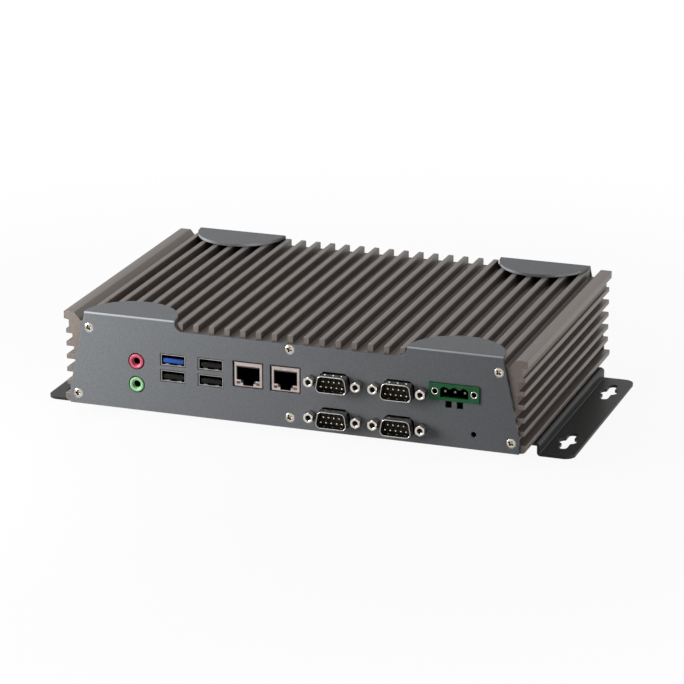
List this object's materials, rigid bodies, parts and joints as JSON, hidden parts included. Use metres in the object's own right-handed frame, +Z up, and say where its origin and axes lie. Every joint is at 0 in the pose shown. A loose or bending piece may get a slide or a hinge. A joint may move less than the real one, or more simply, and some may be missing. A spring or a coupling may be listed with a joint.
{
  "type": "fanless industrial pc",
  "caption": "Low fanless industrial computer with a finned metal housing, a panel of serial, network, USB, audio and power connectors, and keyhole wall brackets.",
  "frame": {"origin": "middle of the bracket slot pattern, on the underside of the two wall brackets", "axes": "+X to the right seen from the connector side, +Y from the connector plate to the rear plate, +Z up from the brackets to the fins"},
  "size_m": [0.286, 0.1727, 0.057],
  "materials": {
    "anodised_aluminium": "satin",
    "grey_paint": "satin",
    "black_paint": "satin",
    "zinc_steel": "satin",
    "screw_nickel": "polished",
    "bright_shell": "satin",
    "black_plastic": "matte",
    "gold_contact": "polished",
    "blue_plastic": "satin",
    "amber_lens": "gloss",
    "pale_lens": "gloss",
    "pink_plastic": "gloss",
    "lime_plastic": "gloss",
    "green_plastic": "satin",
    "circuit_board": "satin",
    "brass_standoff": "satin",
    "chip_metal": "satin",
    "thermal_rubber": "matte",
    "ferrite": "matte",
    "button_metal": "satin"
  },
  "bodies": {
    "housing": {"heatsink_cover": "anodised_aluminium", "front_plate": "grey_paint", "rear_plate": "grey_paint", "bracket_left": "black_paint", "bracket_right": "black_paint", "base_plate": "zinc_steel", "front_plate_screws": "screw_nickel", "rear_plate_screws": "screw_nickel", "base_plate_screws": "screw_nickel", "bracket_screws": "screw_nickel", "com_jackscrews": "screw_nickel", "power_header_nuts": "screw_nickel", "board_screws": "screw_nickel", "spreader_screws": "screw_nickel", "drive_screws": "screw_nickel", "com_shell_1": "bright_shell", "com_shell_2": "bright_shell", "com_shell_3": "bright_shell", "com_shell_4": "bright_shell", "usb_shell_left": "bright_shell", "usb_shell_right": "bright_shell", "lan_shield_left": "bright_shell", "lan_shield_right": "bright_shell", "display_shells": "bright_shell", "com_inserts": "black_plastic", "usb_tongues": "black_plastic", "lan_insert_left": "black_plastic", "lan_insert_right": "black_plastic", "audio_housings": "black_plastic", "memory_socket": "black_plastic", "drive_socket": "black_plastic", "battery_holder": "black_plastic", "display_tongues": "black_plastic", "board_links": "black_plastic", "power_button_switch": "black_plastic", "com_pins": "gold_contact", "usb_contacts": "gold_contact", "lan_contacts": "gold_contact", "power_header_pins": "gold_contact", "usb_fast_tongue": "blue_plastic", "lan_link_lenses": "amber_lens", "lan_speed_lenses": "pale_lens", "indicator_lenses": "pale_lens", "mic_bushing": "pink_plastic", "line_bushing": "lime_plastic", "power_header": "green_plastic", "mainboard": "circuit_board", "serial_board": "circuit_board", "audio_board": "circuit_board", "memory_module": "circuit_board", "board_standoffs": "brass_standoff", "processor": "chip_metal", "heat_spreader": "chip_metal", "drive": "chip_metal", "coin_cell": "chip_metal", "thermal_pad": "thermal_rubber", "power_inductors": "ferrite", "power_button_bezel": "button_metal", "power_button_nut": "button_metal"},
    "button": {"power_button_cap": "button_metal"}
  },
  "joints": [
    {"name": "power_button_press", "type": "slide", "parent": "housing", "child": "button", "axis": [0, -1, 0], "range_m": [0, 0.0015], "stiffness_N_per_m": 900, "springref_m": -0.0015}
  ]
}
